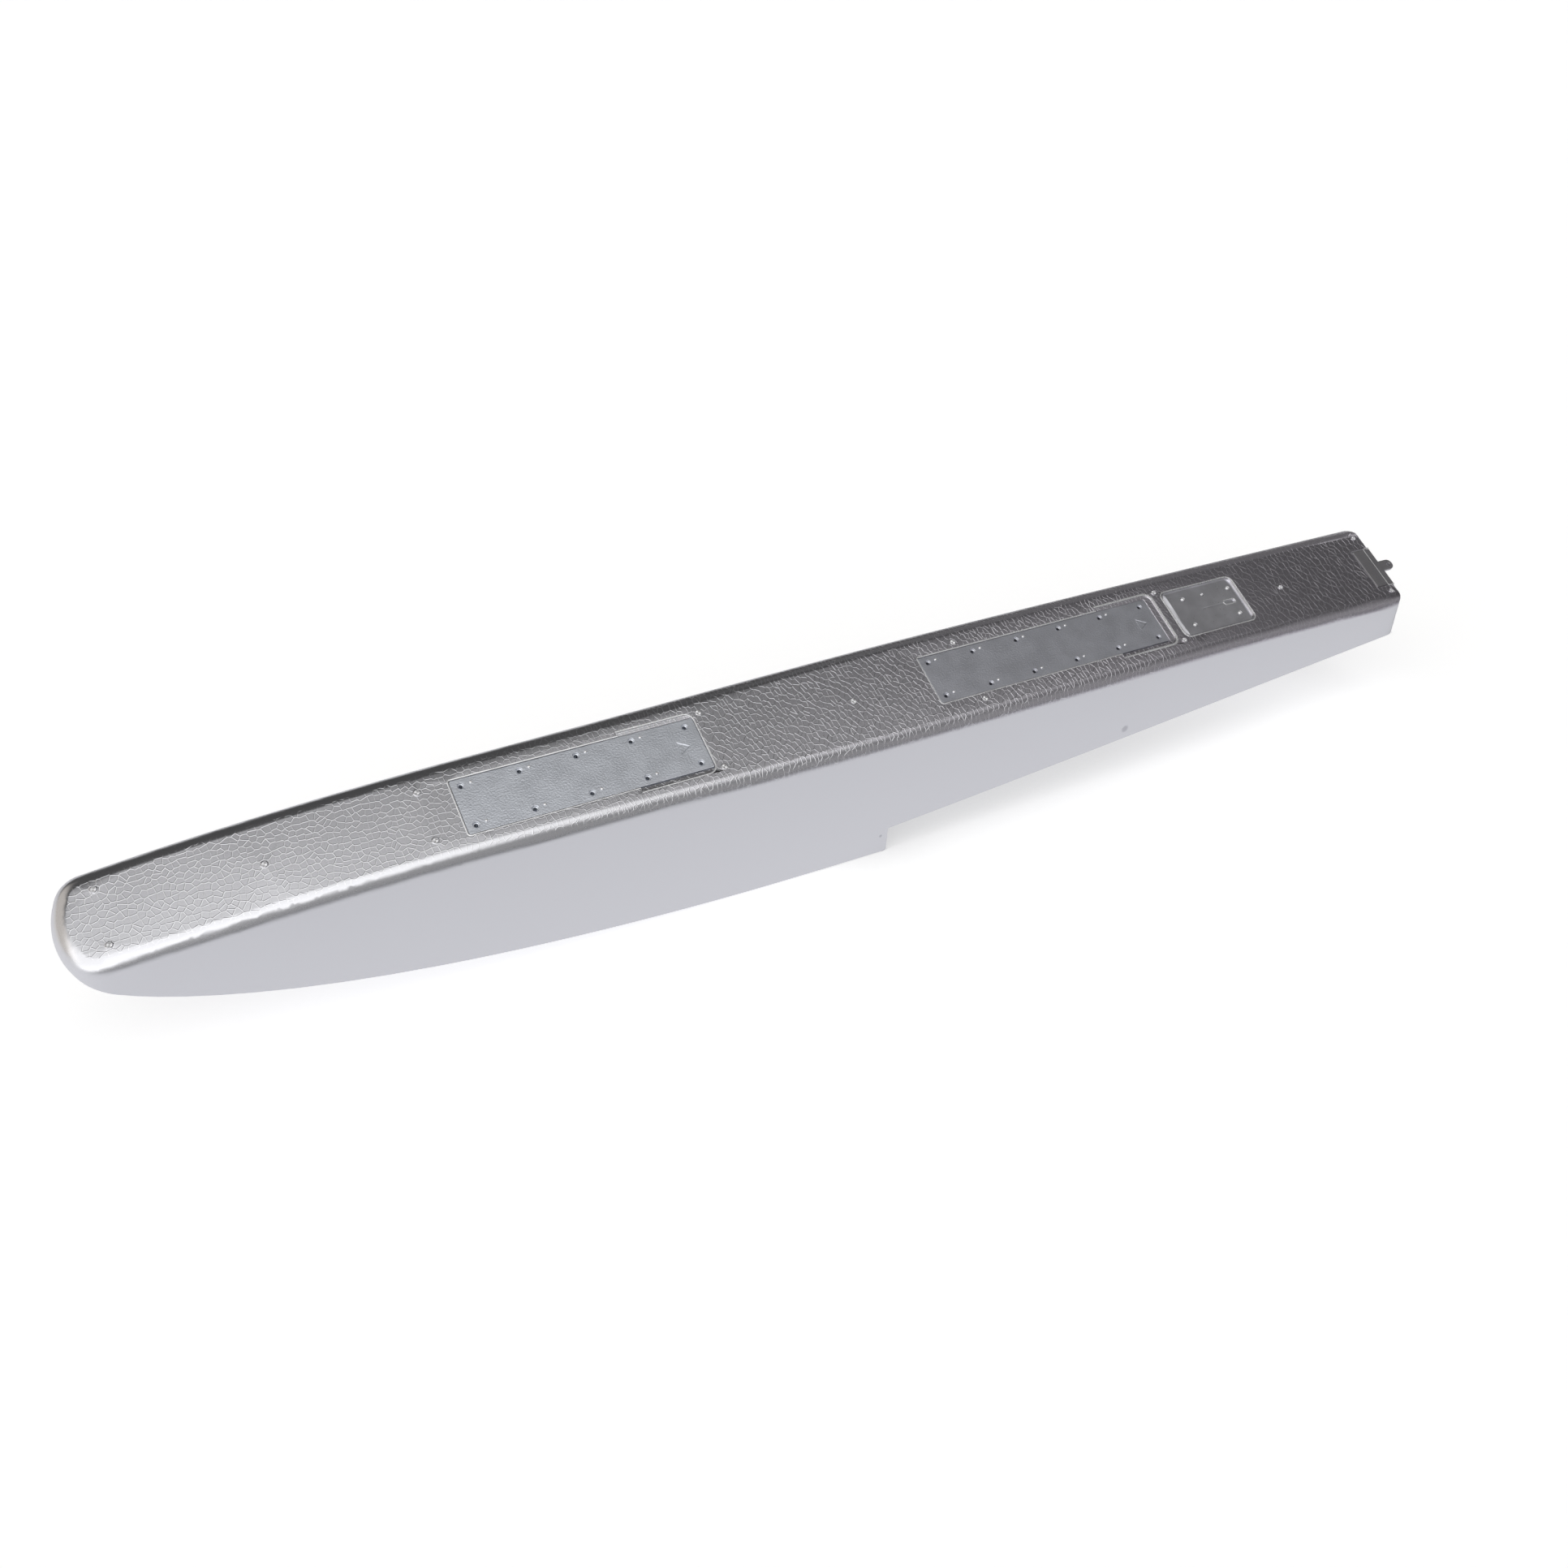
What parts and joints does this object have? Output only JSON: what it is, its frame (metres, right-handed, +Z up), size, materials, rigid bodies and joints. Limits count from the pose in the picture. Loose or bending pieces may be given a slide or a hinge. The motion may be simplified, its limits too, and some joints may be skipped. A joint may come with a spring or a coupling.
{
  "type": "aircraft float",
  "caption": "Stepped V-bottom foam float for a model seaplane, with strut plates, a rudder line tray and a stern tab let into its deck.",
  "frame": {"origin": "on the top face of the front strut plate, between the two screw holes of its middle column", "axes": "+X aft along the hull to the stern, +Y to starboard, +Z up out of the deck"},
  "size_m": [1.0845, 0.1604, 0.132],
  "materials": {
    "foam_skin": "silver-grey moulded bead foam with a satin skin",
    "plate_plastic": "satin, fine grain",
    "tray_plastic": "smooth moulded",
    "bracket_plastic": "satin"
  },
  "bodies": {
    "root": {"foam_hull": "foam_skin", "front_strut_plate": "plate_plastic", "rear_strut_plate": "plate_plastic", "rudder_tray": "tray_plastic", "stern_bracket": "bracket_plastic"}
  },
  "joints": []
}
